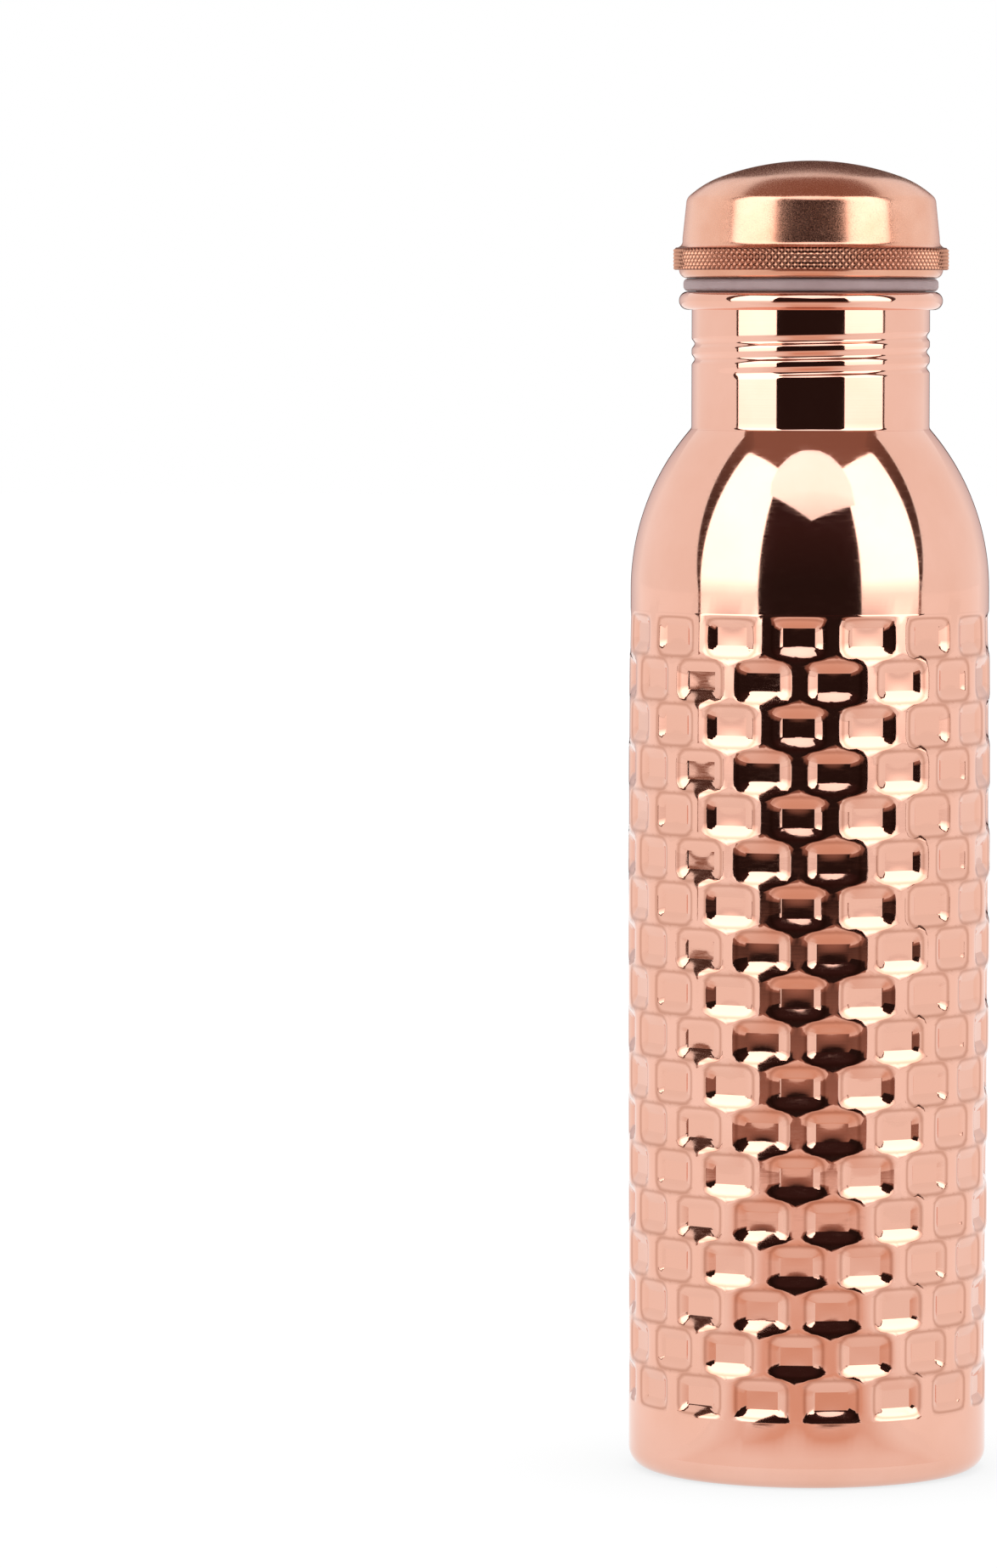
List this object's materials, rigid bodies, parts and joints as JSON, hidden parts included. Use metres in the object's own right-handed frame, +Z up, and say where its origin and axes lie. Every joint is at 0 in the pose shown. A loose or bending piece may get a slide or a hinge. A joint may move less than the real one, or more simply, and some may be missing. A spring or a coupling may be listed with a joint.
{
  "type": "copper water bottle",
  "caption": "Embossed copper water bottle with a rolled-thread neck, rolled lip and knurled domed screw cap on a silicone gasket.",
  "frame": {"origin": "centre of the foot, on the surface that the bottle stands on", "axes": "+Z up along the bottle's axis, -Y towards the front"},
  "size_m": [0.0748, 0.0748, 0.2705],
  "materials": {
    "polished_copper": "mirror-polished copper",
    "neck_copper": "mirror-polished copper",
    "base_copper": "satin copper, lightly handled",
    "silicone": "translucent food-grade silicone",
    "cap_copper": "fine-brushed copper",
    "knurled_copper": "diamond-knurled copper",
    "plug_copper": "drawn copper, unpolished"
  },
  "bodies": {
    "bottle": {"body_shell": "polished_copper", "neck_collar": "neck_copper", "base_plate": "base_copper"},
    "gasket": {"gasket": "silicone"},
    "cap": {"cap_dome": "cap_copper", "cap_band": "knurled_copper", "cap_plug": "plug_copper"}
  },
  "joints": [
    {"name": "cap_rise", "type": "slide", "parent": "bottle", "child": "gasket", "axis": [0, 0, 1], "range_m": [0, 0.01681]},
    {"name": "cap_turn", "type": "hinge", "parent": "gasket", "child": "cap", "pos_m": [0, 0, 0.245], "axis": [0, 0, 1], "range_deg": [0, 1890]}
  ],
  "couplings": [
    {"joint": "cap_rise", "follows": "cap_turn", "m_per_rad": 0.0005093}
  ]
}
